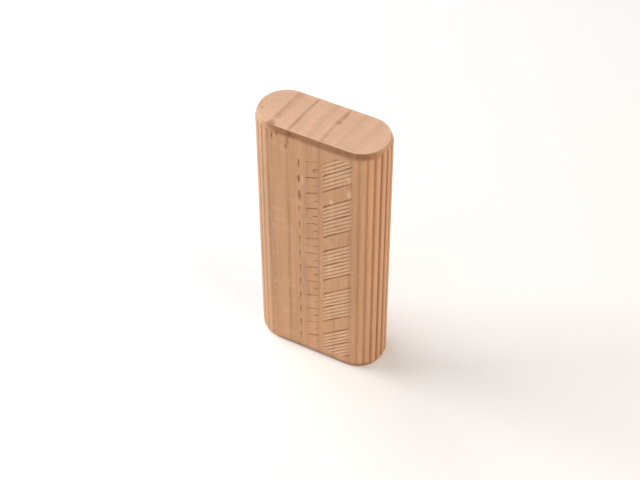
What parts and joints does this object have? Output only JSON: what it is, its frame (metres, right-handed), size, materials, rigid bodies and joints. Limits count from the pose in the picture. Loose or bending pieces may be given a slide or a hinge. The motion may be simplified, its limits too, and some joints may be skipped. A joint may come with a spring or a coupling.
{
  "type": "loose tenon",
  "caption": "Flat oval floating tenon of beech with fluted round edges, bevelled ends and pressed glue grooves, made to be glued into facing slot mortises.",
  "frame": {"origin": "centre of the lower end face, which the tenon stands on", "axes": "+Z along the length, X across the width over the round edges, Y through the thickness; -Y is the broad face towards the viewer"},
  "size_m": [0.0234, 0.01, 0.05],
  "materials": {
    "beech": "moulded and pressed bare beech, pale pinkish brown, with darker burnished bevels"
  },
  "bodies": {
    "root": {"loose_tenon": "beech"}
  },
  "joints": []
}
